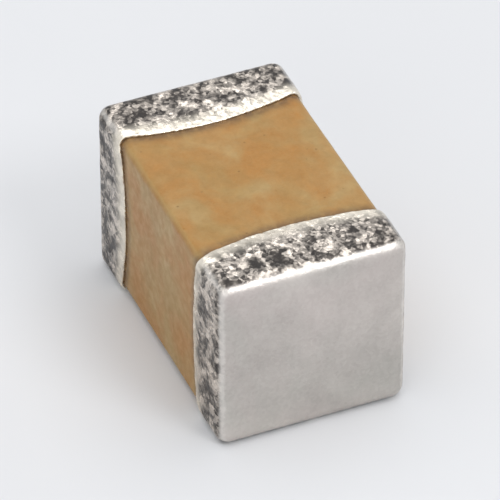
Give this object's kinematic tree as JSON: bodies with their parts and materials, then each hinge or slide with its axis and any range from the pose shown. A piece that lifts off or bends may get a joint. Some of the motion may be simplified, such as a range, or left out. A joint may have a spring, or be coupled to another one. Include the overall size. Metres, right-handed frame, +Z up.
{
  "type": "multilayer ceramic chip capacitor",
  "caption": "Multilayer ceramic chip capacitor for surface mounting: a small tan ceramic block with a matte tin-plated metal cap wrapped over each end.",
  "frame": {"origin": "middle of the bottom of the box, in the plane of the solder faces that the chip rests on", "axes": "+X along the length from the left to the right termination, +Y across the width, +Z up"},
  "size_m": [0.002, 0.0012, 0.0012],
  "materials": {
    "ceramic": "fired ceramic, ochre tan, satin, faintly mottled",
    "electrode_nickel": "fired nickel, dull grey",
    "base_copper": "fired copper, matte",
    "plated_nickel": "plated nickel, satin",
    "plated_tin": "matte plated tin, light warm grey, finely grained"
  },
  "bodies": {
    "root": {"ceramic_body": "ceramic", "inner_electrode_01": "electrode_nickel", "inner_electrode_02": "electrode_nickel", "inner_electrode_03": "electrode_nickel", "inner_electrode_04": "electrode_nickel", "inner_electrode_05": "electrode_nickel", "inner_electrode_06": "electrode_nickel", "inner_electrode_07": "electrode_nickel", "inner_electrode_08": "electrode_nickel", "inner_electrode_09": "electrode_nickel", "inner_electrode_10": "electrode_nickel", "inner_electrode_11": "electrode_nickel", "inner_electrode_12": "electrode_nickel", "inner_electrode_13": "electrode_nickel", "inner_electrode_14": "electrode_nickel", "inner_electrode_15": "electrode_nickel", "inner_electrode_16": "electrode_nickel", "inner_electrode_17": "electrode_nickel", "inner_electrode_18": "electrode_nickel", "inner_electrode_19": "electrode_nickel", "inner_electrode_20": "electrode_nickel", "copper_base_left": "base_copper", "copper_base_right": "base_copper", "nickel_barrier_left": "plated_nickel", "nickel_barrier_right": "plated_nickel", "tin_finish_left": "plated_tin", "tin_finish_right": "plated_tin"}
  },
  "joints": []
}
